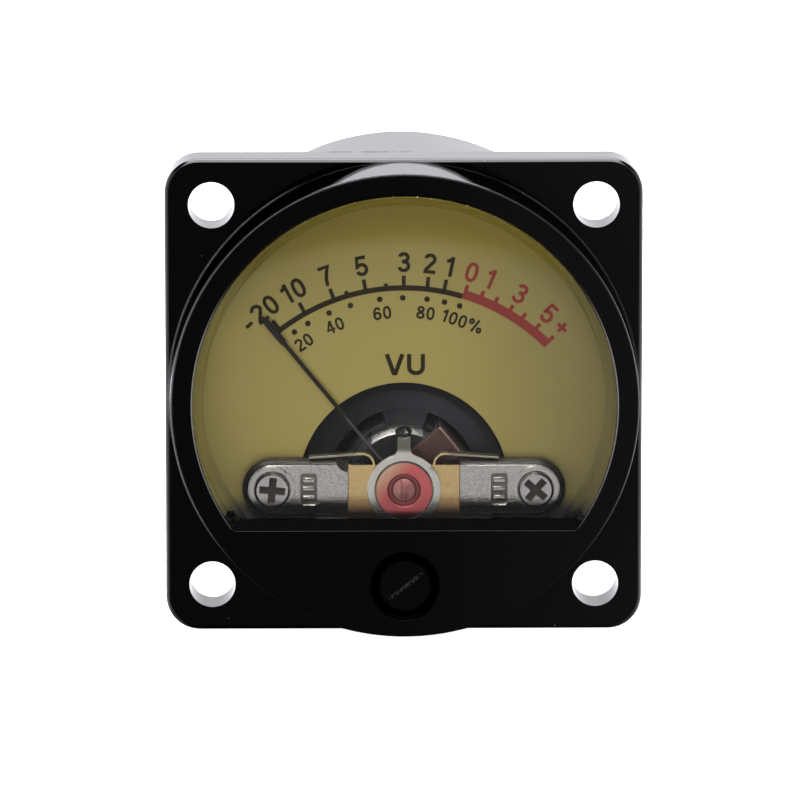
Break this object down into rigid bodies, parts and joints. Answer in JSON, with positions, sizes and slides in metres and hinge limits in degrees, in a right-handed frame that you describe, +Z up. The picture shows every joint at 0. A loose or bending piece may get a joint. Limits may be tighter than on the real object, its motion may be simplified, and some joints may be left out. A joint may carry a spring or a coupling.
{
  "type": "analog vu meter",
  "caption": "Round-bezel panel level meter with a square flange, a D-shaped window, a moving-coil pointer movement and a zero adjusting screw.",
  "frame": {"origin": "centre of the flange's rear seating face, on the axis of the barrel", "axes": "+X to the right seen from the front, +Y from the face into the panel, +Z up"},
  "size_m": [0.035, 0.0286, 0.035],
  "materials": {
    "black_case": "moulded gloss black",
    "black_cover": "moulded satin black",
    "black_screw": "moulded black",
    "clear_window": "clear acrylic",
    "dial": "printed olive yellow",
    "diffuser": "milky",
    "lamp_glass": "clear",
    "board": "phenolic board",
    "steel_screw": "zinc plated",
    "plated_screw": "nickel plated",
    "tinned_terminal": "tinned",
    "die_cast": "grainy die cast",
    "soft_iron": "blackened",
    "plated_core": "nickel plated",
    "spacer_metal": "dull",
    "bridge_brass": "satin",
    "red_lacquer": "red lacquer",
    "spring_bronze": "bronze",
    "pointer_black": "black paint",
    "hub_metal": "dull",
    "enamelled_copper": "enamelled winding",
    "staff_steel": "ground steel",
    "lever_grey": "light grey plating",
    "solder": "dull solder"
  },
  "bodies": {
    "case": {"front_case": "black_case", "window": "clear_window", "dial_plate": "dial", "diffuser": "diffuser", "rear_housing": "black_case", "rear_cover": "black_cover", "cover_screws": "steel_screw", "meter_terminals": "tinned_terminal", "lamp_terminals": "tinned_terminal", "lamp_board": "board", "lamps": "lamp_glass", "movement_frame": "die_cast", "frame_screws": "plated_screw", "yoke_ring": "soft_iron", "core_magnet": "plated_core", "core_spacers": "spacer_metal", "front_bridge": "bridge_brass", "bridge_screws": "plated_screw", "front_bush": "red_lacquer", "front_jewel_screw": "red_lacquer", "rear_bridge": "bridge_brass", "rear_bridge_screws": "plated_screw", "rear_jewel_screw": "bridge_brass", "rear_spring_anchor": "bridge_brass", "rear_hairspring": "spring_bronze"},
    "coil_and_pointer": {"pointer": "pointer_black", "front_hub": "hub_metal", "balance_weights": "spring_bronze", "moving_coil": "enamelled_copper", "coil_former": "hub_metal", "rear_hub": "hub_metal", "front_staff": "staff_steel", "rear_staff": "staff_steel"},
    "spring_lever": {"zero_lever": "lever_grey", "spring_solder": "solder", "front_hairspring": "spring_bronze"},
    "adjuster": {"zero_adjust_screw": "black_screw", "zero_clip": "staff_steel"}
  },
  "joints": [
    {"name": "pointer_swing", "type": "hinge", "parent": "case", "child": "coil_and_pointer", "pos_m": [0, -0.0039, -0.0069], "axis": [0, 1, 0], "range_deg": [-2, 80], "stiffness_Nm_per_rad": 0.000005},
    {"name": "zero_screw_turn", "type": "hinge", "parent": "case", "child": "adjuster", "pos_m": [0, -0.0069, -0.0133], "axis": [0, 1, 0], "range_deg": [-60, 60]},
    {"name": "zero_lever_turn", "type": "hinge", "parent": "case", "child": "spring_lever", "pos_m": [0, -0.0045, -0.0069], "axis": [0, 1, 0], "range_deg": [-8, 8]}
  ],
  "couplings": [
    {"joint": "zero_lever_turn", "follows": "zero_screw_turn", "ratio": -0.13}
  ]
}
